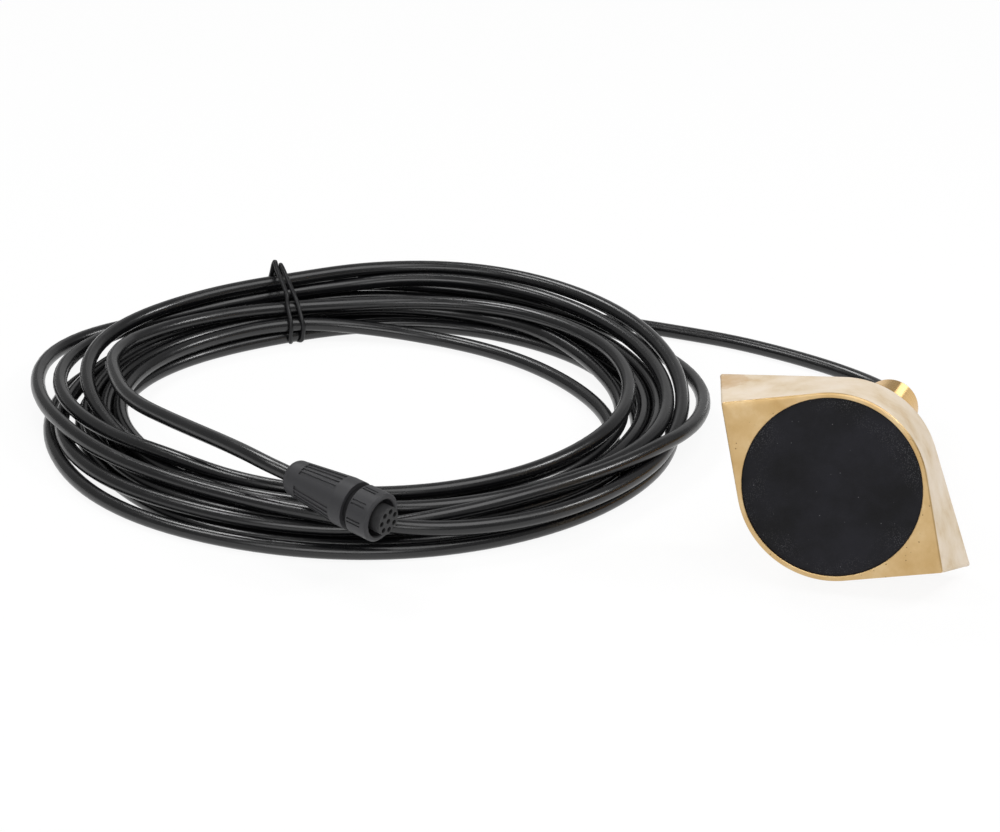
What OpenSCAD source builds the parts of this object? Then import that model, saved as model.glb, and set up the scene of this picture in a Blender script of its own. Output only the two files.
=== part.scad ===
// Bronze through-hull sonar transducer with a coiled cable and a round screw plug.
// It lies as it comes to rest, on the hull side of its body and the end of its stem.
// The floor is z = 0, the stem heads along +Y and the sounding face looks along -Y.

/* [Body] */
// Length of the body from tip to tip at its hull side
hull_len = 133; // [122:0.5:145]
// Length of the body from tip to tip at its face side
face_len = 115.5; // [104:0.5:120]
// Width of the body
body_w = 81; // [76:0.5:88]
// Thickness of the body from its face to its hull side
body_t = 33.5; // [31:0.5:40]
// Radius of the two pointed ends of the body
tip_r = 1.2; // [0.8:0.1:3]
// Step between the round middle of the body and its flanks
flank_step = 0.15; // [0.1:0.05:0.5]
// Metal around the sounding window
rim_w = 2.2; // [1.6:0.1:4]
// Metal between the cavity and the hull side
floor_t = 7; // [5:0.5:8]
// Turn of the body about its axis as it lies
roll = 32; // [20:1:36]

/* [Stem] */
// Length of the stem past the hull side
stem_len = 128; // [118:1:140]
// Diameter over the thread
thread_d = 28.6; // [27.6:0.1:30]
// Length of the threaded stretch
thread_len = 84; // [70:1:88]
// Length of the relief between the hull side and the thread
relief_len = 6; // [5:0.5:10]
// Diameter of the relief
relief_d = 25.6; // [24:0.1:26]
// Radius of the fillet where the stem meets the hull side
root_r = 3; // [2:0.5:4]
// Diameter of the plain end of the stem
pilot_d = 26.2; // [24:0.1:26.4]
// Chamfer at the ends of the thread and of the stem
stem_chamfer = 0.6; // [0.4:0.1:1.2]
// Diameter of the bore for the cable
stem_bore_d = 11; // [9:0.5:13]
// Diameter of the pocket in the end of the stem
pocket_d = 17; // [15:0.5:19]
// Depth of the pocket in the end of the stem
pocket_len = 20; // [16:1:28]

/* [Sounding element] */
// Depth of the window below the rim
window_recess = 1; // [0.5:0.1:2]
// Thickness of the window
window_t = 5; // [4:0.5:6]
// Width of the shelf that the window rests on
shelf_w = 4; // [3:0.5:5]
// Diameter of the ceramic disc
ceramic_d = 54; // [48:1:56]
// Thickness of the ceramic disc
ceramic_t = 9; // [7:0.5:10]
// Thickness of the cork pad behind the ceramic
pad_t = 4; // [2:0.5:4.5]
// Thickness of the cork ring around the ceramic
cork_t = 3; // [2:0.5:4]
// Diameter of the two element wires
lead_d = 1.2; // [0.8:0.1:1.6]
// Distance of the signal wire's joint from the axis
signal_at = 12; // [8:1:18]
// Distance of the return wire's joint from the ceramic's edge
return_inset = 3; // [2:0.5:6]
// Glue line around each bonded piece
bond = 0.05; // [0.03:0.01:0.1]

/* [Strain relief] */
// Length of the boot inside the stem's pocket
boot_in = 9; // [6:1:12]
// Length of the boot outside the stem
boot_out = 11; // [8:1:14]
// Diameter of the boot where it leaves the stem
boot_d = 12.4; // [11:0.1:14]
// Diameter of the boot's thin end
boot_tip_d = 9; // [8:0.1:10]
// Depth of the boot's shoulder below the end of the stem
boot_sink = 1.5; // [1:0.5:3]

/* [Cable] */
// Diameter of the cable
cable_d = 6.8; // [6:0.1:7.2]
// Outside diameter of the coil
coil_od = 292; // [284:1:300]
// Inside diameter of the coil
coil_id = 198; // [190:1:210]
// Height of the coil
coil_h = 23; // [20:0.5:26]
// Radius of the coil's rounded corners
coil_round = 8; // [4:0.5:9.5]
// Thickness of the wire tie
tie_d = 2.2; // [1.6:0.1:3]
// Distance between the two loops of the wire tie
tie_pitch = 8; // [6:0.5:12]

/* [Plug grip] */
// Length of the grip
grip_len = 36.5; // [34:0.5:40]
// Diameter of the grip at its rounded rear
grip_rear_d = 16; // [15:0.1:17.5]
// Diameter of the grip's front collar
grip_front_d = 21.8; // [21:0.1:24]
// Radius of the grip's rounded rear edge
grip_round = 4; // [2:0.5:4.5]
// Length of the grip's smooth front collar
collar_len = 6; // [4:0.5:8]
// Number of ridged fields around the grip
fields = 4; // [3:1:5]
// Depth of the ridged fields
field_depth = 0.6; // [0.4:0.1:0.9]
// Diameter of the bore for the barrel
barrel_d = 14.6; // [14.2:0.1:15.4]
// Length of the barrel inside the grip
barrel_in = 11; // [9:0.5:13]
// Diameter of the space for the wires
wire_space_d = 12.4; // [12:0.1:13]
// Diameter of the rubber grommet
grommet_d = 11.4; // [10:0.1:11.8]
// Length of the rubber grommet
grommet_len = 10; // [8:0.5:12]

/* [Coupling ring] */
// Diameter of the coupling ring
ring_d = 21.8; // [21:0.1:23]
// Length of the coupling ring
ring_len = 11.4; // [10.5:0.1:13]
// Gap between the grip and the coupling ring
ring_gap = 2.8; // [2:0.1:3.4]
// Thickness of the coupling ring's inner flange
flange_t = 3.5; // [3:0.1:4.5]
// Diameter of the coupling ring's mouth
mouth_d = 16.8; // [16.2:0.1:17.6]
// Diameter of the neck that the coupling ring turns on
neck_d = 14.4; // [14.2:0.1:14.8]
// Running clearance of the coupling ring on the neck
run_gap = 0.08; // [0.05:0.01:0.1]
// Clearance of the coupling ring along its axis
end_play = 0.4; // [0.3:0.1:0.6]
// Diameter of the rubber seal in the gap
seal_d = 18; // [17:0.1:19]
// Number of flute pairs around the coupling ring
flute_pairs = 8; // [6:1:10]
// Depth of the coupling ring's flutes
flute_depth = 0.6; // [0.4:0.1:0.8]

/* [Contacts] */
// Diameter of the contact insert's face
insert_d = 12.6; // [12:0.1:13.2]
// How far the insert's face stands out of the coupling ring
insert_proud = 3.6; // [2:0.1:4.5]
// Bore of the barrel
barrel_bore_d = 11.4; // [11.2:0.1:11.6]
// Number of contacts around the middle one
contact_ring_count = 7; // [5:1:7]
// Radius of the circle of contacts
contact_circle_r = 4.35; // [4.2:0.05:4.4]
// Outside diameter of a contact
contact_d = 1.8; // [1.4:0.1:2]
// Bore of a contact
contact_bore_d = 1.1; // [0.8:0.1:1.2]
// Diameter of the insert's sockets in front of the contacts
socket_d = 2.4; // [2:0.1:2.6]
// Depth of the contacts behind the insert's face
contact_sink = 3; // [2:0.1:4]
// Length of the solder cups behind the insert
cup_len = 3; // [2:0.5:4]
// Diameter of a wire in the plug
core_d = 0.9; // [0.6:0.1:1]

/* [Hidden] */
$fn = 64;
eps = 0.01;

bronze = "#c9a862";
urethane = "#1f1f23";
ceramic = "#d8d2c4";
cork = "#b98a58";
epoxy = "#2b2a29";
copper = "#b87333";
jacket = "#161617";
rubber = "#1b1b1c";
nylon = "#38383a";
steel = "#b9bcc0";
gold = "#d4af37";

// The lie of the transducer: it leans back until the end of its stem touches the floor.
body_r = body_w / 2;
pilot_r = pilot_d / 2;
axis_len = body_t + stem_len;
lean = atan((body_r - pilot_r) / (stem_len - stem_chamfer));
axis_dir = [0, cos(lean), -sin(lean)];
face_z = body_r * cos(lean) + body_t * sin(lean);
front_reach = body_r * sin(lean);
back_reach = axis_len * cos(lean) + (pilot_r - stem_chamfer) * sin(lean);
face_y = (front_reach - back_reach) / 2;
face_at = [0, face_y, face_z];

// Depths along the axis, measured from the face.
window_back = window_recess + window_t;
window_r = body_r - rim_w;
cavity_r = window_r - shelf_w;
cavity_back = body_t - floor_t;
ceramic_back = window_back + ceramic_t;
pad_back = ceramic_back + pad_t;
cork_r = ceramic_d / 2 + cork_t;
cable_start = cavity_back - 1.5;
lead_turn = (pad_back + cable_start) / 2;
lead_spread = cable_d / 4;
return_at = ceramic_d / 2 - return_inset;
pocket_floor = axis_len - pocket_len;
boot_base = axis_len - boot_sink - boot_in;
boot_front = axis_len - boot_sink;
boot_end = axis_len + boot_out;
cable_r = cable_d / 2;

// The coil lies flat on the floor. The tie holds it at its back, on the left.
coil_at = [-239, 26, 0];
tie_angle = 128;
tie_splay = 4;
twist_len = 9;

// The plug lies on the front of the coil, nose slightly down.
plug_at = [-229, -102, coil_h + 12.2];
plug_heading = -23;
plug_pitch = 5.5;
plug_dir = [
    cos(plug_pitch) * cos(plug_heading),
    cos(plug_pitch) * sin(plug_heading),
    -sin(plug_pitch)
];

// Places along the plug's axis, measured from its rear.
lip_t = 1.5;
lip_gap = 0.4;
grommet_end = lip_t + grommet_len;
barrel_rear = grip_len - barrel_in;
seal_end = grip_len + ring_gap - end_play;
ring_rear = grip_len + ring_gap;
ring_front = ring_rear + ring_len;
flange_end = ring_rear + flange_t;
clip_t = 1;
clip_at = flange_end + end_play;
clip_lip = 0.8;
barrel_front = clip_at + clip_t + 1.6;
insert_face = ring_front + insert_proud;
insert_rear = barrel_front - 12;
cup_rear = insert_rear - cup_len;
mouth_chamfer = 0.8;
field_turn = 15;
field_arc = 54;
field_ridges = 3;
ridge_arc = 4;
field_rear = 8.5;
flute_turn = 2;
flute_arc = 4;
flute_step = 9;
flute_share = 0.63;
contact_turn = 165;

// The route of the cable where it isn't coiled. It lies on the floor, and climbs the coil to the plug.
lead_z = cable_r;
lead_route = [
    face_at + axis_dir * boot_end,
    face_at + axis_dir * (boot_end + 8),
    [-4, 111, 5.5], [-12, 121.5, 4], [-25, 131, lead_z], [-42, 139.5, lead_z], [-64, 148, lead_z],
    [-88, 155, lead_z], [-112, 159, lead_z], [-137, 162, lead_z], [-160, 163, lead_z],
    [-182, 162, lead_z], [-198, 159, lead_z]
];
tail_route = [
    [-358, 28, coil_h - 0.8], [-355, 12, coil_h + 0.2], [-345.5, -7, coil_h + 1.6],
    [-335, -23.5, coil_h + 3.2], [-322, -38, coil_h + 5.2], [-305, -52.7, coil_h + 8],
    [-286.3, -67, coil_h + 10.7], [-268.7, -79.5, coil_h + 12.8], [-254.2, -89.4, coil_h + 13.9],
    plug_at - plug_dir * 14,
    plug_at - plug_dir * 3,
    plug_at + plug_dir * grommet_end
];
tube_sides = 10;

function unit(v) = v / norm(v);
function tangent(path, i) = unit(path[min(i + 1, len(path) - 1)] - path[max(i - 1, 0)]);
function tube_ring(path, i, radius) =
    let (along = tangent(path, i))
    let (side = unit(cross(along, [0, 0, 1])))
    let (up = cross(side, along))
    [for (k = [0:tube_sides - 1])
        let (a = 360 * k / tube_sides)
        path[i] + radius * (cos(a) * side + sin(a) * up)];
function grip_r(s) =
    let (share = (s - grip_round) / (grip_len - collar_len - grip_round))
    (grip_rear_d + (grip_front_d - grip_rear_d) * share) / 2;
function contact_spots() = concat(
    [[0, 0]],
    [for (k = [0:contact_ring_count - 1])
        let (a = contact_turn + 360 * k / contact_ring_count)
        contact_circle_r * [cos(a), sin(a)]]
);

// Puts a piece that is drawn with the face at z = 0 and the stem along +Z where the transducer lies.
module at_axis() {
    translate(face_at) rotate([-90 - lean, 0, 0]) children();
}

// Puts a piece that is drawn with the plug's rear at z = 0 and its mouth along +Z where the plug lies.
module at_plug() {
    translate(plug_at) rotate([0, 90 + plug_pitch, plug_heading]) children();
}

// A plain tube from one height to another, with an optional bore.
module sleeve(from, to, d, bore = 0) {
    translate([0, 0, from]) difference() {
        cylinder(d = d, h = to - from);
        if (bore > 0) translate([0, 0, -eps]) cylinder(d = bore, h = to - from + 2 * eps);
    }
}

// The outline of the body: a round middle whose flanks run straight to two rounded points.
module eye(length, round_r) {
    tip_at = length / 2 - tip_r;
    slope = asin((round_r - tip_r) / tip_at);
    round_at = round_r * [sin(slope), cos(slope)];
    point_at = [tip_at, 0] + tip_r * [sin(slope), cos(slope)];
    circle(round_r);
    for (turn = [0, 180]) rotate(turn) {
        translate([tip_at, 0]) circle(tip_r, $fn = 32);
        polygon([round_at, point_at, [point_at.x, -point_at.y], [round_at.x, -round_at.y]]);
    }
}

// The cast body: a round boss with two tapered points that reach further at the hull side.
module body_casting() {
    slice = 0.1;
    flank_r = body_r - flank_step;
    rotate(roll) {
        cylinder(r = body_r, h = body_t);
        hull() {
            linear_extrude(slice) eye(face_len, flank_r);
            translate([0, 0, body_t - slice]) linear_extrude(slice) eye(hull_len, flank_r);
        }
    }
}

// The turned stem: root fillet, relief, thread envelope and plain end, as one half profile.
module stem_profile() {
    relief_r = relief_d / 2;
    thread_r = thread_d / 2;
    thread_end = relief_len + thread_len;
    polygon([
        [0, -1], [relief_r, -1], [relief_r, relief_len], [thread_r - stem_chamfer, relief_len],
        [thread_r, relief_len + stem_chamfer], [thread_r, thread_end - stem_chamfer],
        [thread_r - stem_chamfer, thread_end], [pilot_r, thread_end], [pilot_r, stem_len - stem_chamfer],
        [pilot_r - stem_chamfer, stem_len], [0, stem_len]
    ]);
    root_sink = root_r / 10;
    difference() {
        translate([relief_r - eps, -root_sink]) square([root_r + eps, root_r]);
        translate([relief_r + root_r, root_r - root_sink]) circle(root_r);
    }
}

module housing() {
    color(bronze) at_axis() difference() {
        union() {
            body_casting();
            translate([0, 0, body_t]) rotate_extrude() stem_profile();
        }
        translate([0, 0, -1]) cylinder(r = window_r, h = window_back + 1);
        sleeve(window_back - eps, cavity_back, 2 * cavity_r);
        sleeve(cavity_back - eps, axis_len + 1, stem_bore_d);
        sleeve(pocket_floor, axis_len + 1, pocket_d);
    }
}

module acoustic_window() {
    color(urethane) at_axis() sleeve(window_recess, window_back, 2 * (window_r - bond));
}

module piezo_disc() {
    color(ceramic) at_axis() sleeve(window_back, ceramic_back, ceramic_d);
}

module isolation_ring() {
    color(cork) at_axis() sleeve(window_back, pad_back, 2 * cork_r, ceramic_d + 2 * bond);
}

module backing_pad() {
    color(cork) at_axis() difference() {
        sleeve(ceramic_back, pad_back, ceramic_d);
        for (x = [signal_at, -return_at])
            translate([x, 0, ceramic_back - eps]) cylinder(d = lead_d + 2 * bond, h = pad_t + 2 * eps);
    }
}

// A wire from the cable's end to the back of the ceramic, in three straight runs.
module element_wire(from_x, to_x, d) {
    translate([from_x, 0, lead_turn]) cylinder(d = d, h = cable_start - lead_turn);
    for (x = [from_x, to_x]) translate([x, 0, lead_turn]) sphere(d = d);
    translate([min(from_x, to_x), 0, lead_turn]) rotate([0, 90, 0]) cylinder(d = d, h = abs(to_x - from_x));
    translate([to_x, 0, ceramic_back]) cylinder(d = d, h = lead_turn - ceramic_back);
}

module signal_lead() {
    color(copper) at_axis() element_wire(lead_spread, signal_at, lead_d);
}

module return_lead() {
    color(copper) at_axis() element_wire(-lead_spread, -return_at, lead_d);
}

module potting() {
    groove_d = lead_d + 2 * bond;
    color(epoxy) at_axis() difference() {
        sleeve(window_back, cavity_back, 2 * (cavity_r - bond));
        sleeve(window_back - eps, pad_back, 2 * (cork_r + bond));
        sleeve(cable_start, cavity_back + 1, cable_d + 2 * bond);
        element_wire(lead_spread, signal_at, groove_d);
        element_wire(-lead_spread, -return_at, groove_d);
    }
}

module stem_cable() {
    color(jacket) at_axis() sleeve(cable_start, boot_end, cable_d);
}

module stem_seal() {
    color(epoxy) at_axis() sleeve(pocket_floor, boot_base, pocket_d - 2 * bond, cable_d + 2 * bond);
}

// The boot has a shoulder that is bonded in the stem's pocket and a tapered sleeve with three grooves.
module strain_relief() {
    shoulder_r = pocket_d / 2 - bond;
    groove_w = 1;
    groove_pitch = 2.6;
    groove_r = boot_tip_d / 2 - 0.4;
    color(rubber) at_axis() difference() {
        rotate_extrude() polygon([
            [0, boot_base], [shoulder_r, boot_base], [shoulder_r, boot_front],
            [boot_d / 2, boot_front], [boot_d / 2, axis_len], [boot_tip_d / 2, boot_end], [0, boot_end]
        ]);
        sleeve(boot_base - eps, boot_end + eps, cable_d + 2 * bond);
        for (k = [0:2])
            translate([0, 0, axis_len + 2 + k * groove_pitch]) difference() {
                cylinder(d = boot_d + 1, h = groove_w);
                translate([0, 0, -eps]) cylinder(r = groove_r, h = groove_w + 2 * eps);
            }
    }
}

// A round tube along a path of points.
module tube(path, d) {
    rings = len(path);
    last = (rings - 1) * tube_sides;
    polyhedron(
        points = [for (i = [0:rings - 1]) each tube_ring(path, i, d / 2)],
        faces = concat(
            [[for (k = [tube_sides - 1:-1:0]) k]],
            [for (i = [0:rings - 2], k = [0:tube_sides - 1])
                let (here = i * tube_sides, there = here + tube_sides, next = (k + 1) % tube_sides)
                each [[here + k, here + next, there + next], [here + k, there + next, there + k]]],
            [[for (k = [0:tube_sides - 1]) last + k]]
        )
    );
}

module cable_lead() {
    color(jacket) tube(lead_route, cable_d);
}

module cable_tail() {
    color(jacket) tube(tail_route, cable_d);
}

module rounded_rect(size, r) {
    translate([r, 0]) square([size.x - 2 * r, size.y]);
    translate([0, r]) square([size.x, size.y - 2 * r]);
    for (x = [r, size.x - r], y = [r, size.y - r]) translate([x, y]) circle(r);
}

module cable_coil() {
    color(jacket) translate(coil_at) rotate_extrude($fn = 128)
        translate([coil_id / 2, 0]) rounded_rect([(coil_od - coil_id) / 2, coil_h], coil_round);
}

// One loop of the tie around the coil's section, its lowest run pressed between coil and floor.
module tie_loop() {
    band = (coil_od - coil_id) / 2;
    rotate([90, 0, 0]) translate([0, 0, -tie_d / 2]) linear_extrude(tie_d) difference() {
        translate([coil_id / 2 - tie_d, 0])
            rounded_rect([band + 2 * tie_d, coil_h + tie_d], coil_round + tie_d / 2);
        translate([coil_id / 2, tie_d]) rounded_rect([band, coil_h - tie_d], coil_round);
    }
}

module coil_tie() {
    mid_r = (coil_od + coil_id) / 4;
    twist_z = coil_h + 1.2 * tie_d;
    color(rubber) translate(coil_at) rotate(tie_angle) {
        for (side = [-1, 1])
            translate([mid_r, side * tie_pitch / 2, 0]) rotate(side * tie_splay)
                translate([-mid_r, 0, 0]) tie_loop();
        translate([mid_r, 0, twist_z]) {
            rotate([90, 0, 0]) cylinder(d = 1.8 * tie_d, h = tie_pitch + 2 * tie_d, center = true);
            rotate([0, 70, 0]) cylinder(d = 1.2 * tie_d, h = twist_len);
        }
    }
}

module plug_grip() {
    rear_r = grip_rear_d / 2;
    front_r = grip_front_d / 2;
    field_front = grip_len - collar_len - 1;
    color(nylon) at_plug() difference() {
        union() {
            difference() {
                rotate_extrude() {
                    polygon([
                        [0, 0], [rear_r - grip_round, 0], [rear_r, grip_round],
                        [front_r, grip_len - collar_len], [front_r, grip_len], [0, grip_len]
                    ]);
                    translate([rear_r - grip_round, grip_round]) circle(grip_round);
                }
                for (k = [0:fields - 1])
                    rotate(field_turn + 360 * k / fields - field_arc / 2) grip_band(field_front, field_arc, 1);
            }
            for (k = [0:fields - 1], j = [0:field_ridges - 1])
                rotate(field_turn + 360 * k / fields + field_arc * ((j + 1) / (field_ridges + 1) - 0.5))
                    rotate(-ridge_arc / 2) grip_band(field_front, ridge_arc, -0.1);
        }
        sleeve(-eps, grip_len + eps, cable_d + 2 * lip_gap);
        sleeve(lip_t, grommet_end + 0.5, grommet_d + 2 * bond);
        sleeve(grommet_end, barrel_rear + eps, wire_space_d);
        sleeve(barrel_rear, grip_len + eps, barrel_d + 2 * bond);
    }
}

// A sector of the grip's tapered surface, one field deep, standing proud of the surface by a margin.
module grip_band(front, arc, proud) {
    depth = field_depth + (proud > 0 ? 0 : 0.2);
    rotate_extrude(angle = arc) polygon([
        [grip_r(field_rear) - depth, field_rear], [grip_r(front) - depth, front],
        [grip_r(front) + proud, front], [grip_r(field_rear) + proud, field_rear]
    ]);
}

module cable_grommet() {
    color(rubber) at_plug() sleeve(lip_t, grommet_end, grommet_d, cable_d + 2 * bond);
}

module plug_barrel() {
    groove_d = neck_d - 2 * clip_lip;
    color(nylon) at_plug() difference() {
        union() {
            sleeve(barrel_rear, grip_len, barrel_d);
            sleeve(grip_len - eps, barrel_front, neck_d);
        }
        sleeve(barrel_rear - eps, barrel_front + eps, barrel_bore_d);
        sleeve(clip_at, clip_at + clip_t + 2 * bond, neck_d + 1, groove_d);
    }
}

module plug_seal() {
    color(rubber) at_plug() sleeve(grip_len, seal_end, seal_d, neck_d);
}

// The ring turns on the neck. Pairs of short flutes give the fingers a hold on its rear half.
module coupling_ring() {
    ring_r = ring_d / 2;
    edge = 0.5;
    flute_len = ring_len * flute_share;
    color(nylon) at_plug() difference() {
        rotate_extrude() polygon([
            [neck_d / 2 + run_gap, ring_rear], [ring_r - edge, ring_rear], [ring_r, ring_rear + edge],
            [ring_r, ring_front - mouth_chamfer], [ring_r - mouth_chamfer, ring_front],
            [mouth_d / 2 + edge, ring_front], [mouth_d / 2, ring_front - edge],
            [mouth_d / 2, flange_end], [neck_d / 2 + run_gap, flange_end]
        ]);
        for (k = [0:flute_pairs - 1], side = [-1, 1])
            rotate(flute_turn + 360 * k / flute_pairs + side * flute_step / 2 - flute_arc / 2)
                rotate_extrude(angle = flute_arc) translate([ring_r - flute_depth, ring_rear + 1])
                    square([flute_depth + 1, flute_len]);
    }
}

module ring_clip() {
    opening = 40;
    color(steel) at_plug() translate([0, 0, clip_at + bond]) rotate_extrude(angle = 360 - opening)
        translate([neck_d / 2 - clip_lip + bond, 0]) square([2 * clip_lip - bond, clip_t]);
}

module contact_insert() {
    hole_d = contact_d + 2 * bond;
    key_w = 2;
    key_depth = 0.9;
    key_turn = contact_turn + 4.5 * 360 / contact_ring_count;
    color(nylon) at_plug() difference() {
        union() {
            sleeve(insert_rear, barrel_front, barrel_bore_d - 2 * bond);
            sleeve(barrel_front, insert_face, insert_d);
        }
        for (spot = contact_spots()) translate([spot.x, spot.y, 0]) {
            sleeve(insert_rear - eps, insert_face, hole_d);
            sleeve(insert_face - contact_sink, insert_face + eps, socket_d);
        }
        rotate(key_turn) translate([insert_d / 2 - key_depth, -key_w / 2, barrel_front + 1])
            cube([key_depth + 1, key_w, insert_face - barrel_front]);
    }
}

module contacts() {
    color(gold) at_plug()
        for (spot = contact_spots())
            translate([spot.x, spot.y, 0]) sleeve(cup_rear, insert_face - contact_sink, contact_d, contact_bore_d);
}

// One wire from the cable's end to each solder cup.
module core_wires() {
    start = grommet_end + 0.2;
    end = cup_rear - 0.2;
    gather = 0.5;
    color(copper) at_plug()
        for (spot = contact_spots()) {
            reach = (1 - gather) * norm(spot);
            translate([gather * spot.x, gather * spot.y, start])
                rotate([0, atan(reach / (end - start)), atan2(spot.y, spot.x)])
                    cylinder(d = core_d, h = norm([reach, end - start]));
        }
}

housing();
acoustic_window();
piezo_disc();
isolation_ring();
backing_pad();
potting();
signal_lead();
return_lead();
stem_cable();
stem_seal();
strain_relief();
cable_lead();
cable_coil();
cable_tail();
coil_tie();
plug_grip();
cable_grommet();
plug_barrel();
plug_seal();
coupling_ring();
ring_clip();
contact_insert();
contacts();
core_wires();
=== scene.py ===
"""Looks of a bronze through-hull sonar transducer, its coiled cable and its plug, around the CAD part.

All sizes are in millimetres and become metres where a mesh or curve is made. The frame is the CAD part's:
the floor is z = 0, the stem heads along +Y and the sounding face looks along -Y.
"""
from __future__ import annotations

import logging
import math
from dataclasses import dataclass
from enum import Enum, IntEnum
from typing import Any, Sequence

import bpy
import numpy as np
from mathutils import Matrix, Vector

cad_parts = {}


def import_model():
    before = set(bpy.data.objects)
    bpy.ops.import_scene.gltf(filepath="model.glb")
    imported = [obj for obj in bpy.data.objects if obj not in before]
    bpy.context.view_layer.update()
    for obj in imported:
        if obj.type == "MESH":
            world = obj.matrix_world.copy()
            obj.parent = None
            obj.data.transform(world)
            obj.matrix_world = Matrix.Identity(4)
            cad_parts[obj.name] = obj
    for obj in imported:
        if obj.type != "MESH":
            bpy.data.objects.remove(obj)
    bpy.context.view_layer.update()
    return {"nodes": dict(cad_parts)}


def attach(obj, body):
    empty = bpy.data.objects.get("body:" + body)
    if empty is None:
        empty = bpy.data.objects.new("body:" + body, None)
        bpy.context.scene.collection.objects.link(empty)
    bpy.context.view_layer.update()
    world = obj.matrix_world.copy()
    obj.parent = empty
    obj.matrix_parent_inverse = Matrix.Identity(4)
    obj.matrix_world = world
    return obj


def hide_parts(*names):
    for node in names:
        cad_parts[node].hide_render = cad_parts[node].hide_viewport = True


LOG = logging.getLogger("scene")
MM = 0.001
Array = np.ndarray
Point = tuple[float, float, float]
Socket = bpy.types.NodeSocket
Thing = bpy.types.Object

# rays that look for an edge to round, layers of fine grain, and where a dot fades in its cell
EDGE_RAYS = 6
GRAIN_DETAIL = 3.0
DOT_EDGE = (0.05, 0.12)
# width and height of a place in the heap, in strands
PACK_WIDE, PACK_HIGH = 1.03, 0.88
# place of each turn in the heap at the back, at the left, and at the front and right
BACK_ORDER = (0, 1, 2, 3, 8, 7, 6, 5, 9, 4, 10, 11)
LEFT_ORDER = (0, 1, 2, 3, 7, 6, 5, 4, 8, 11, 9, 10)
FRONT_ORDER = (0, 1, 2, 3, 7, 6, 5, 4, 8, 9, 10)
# angle at which two faces meet in a sharp edge, in degrees
SHARP = 32.0


class Body(str, Enum):
    """The CAD bodies that a piece can ride on."""

    TRANSDUCER = "transducer"
    RING = "coupling_ring"


class Skin(IntEnum):
    """The housing's finishes, in the order of its material slots."""

    GROUND = 0
    CAST = 1
    TURNED = 2


def linear(hex_colour: str) -> tuple[float, float, float, float]:
    """Turns an sRGB hex colour such as "#c9a862" into the linear colour of shaders, with an alpha of 1."""
    parts = [int(hex_colour[i:i + 2], 16) / 255 for i in (1, 3, 5)]
    return *(c / 12.92 if c <= 0.04045 else ((c + 0.055) / 1.055) ** 2.4 for c in parts), 1.0


def per_mm(size: float) -> float:
    """Gives a texture's scale, for object coordinates, from the size of its cells in millimetres."""
    return 1 / (size * MM)


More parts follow.
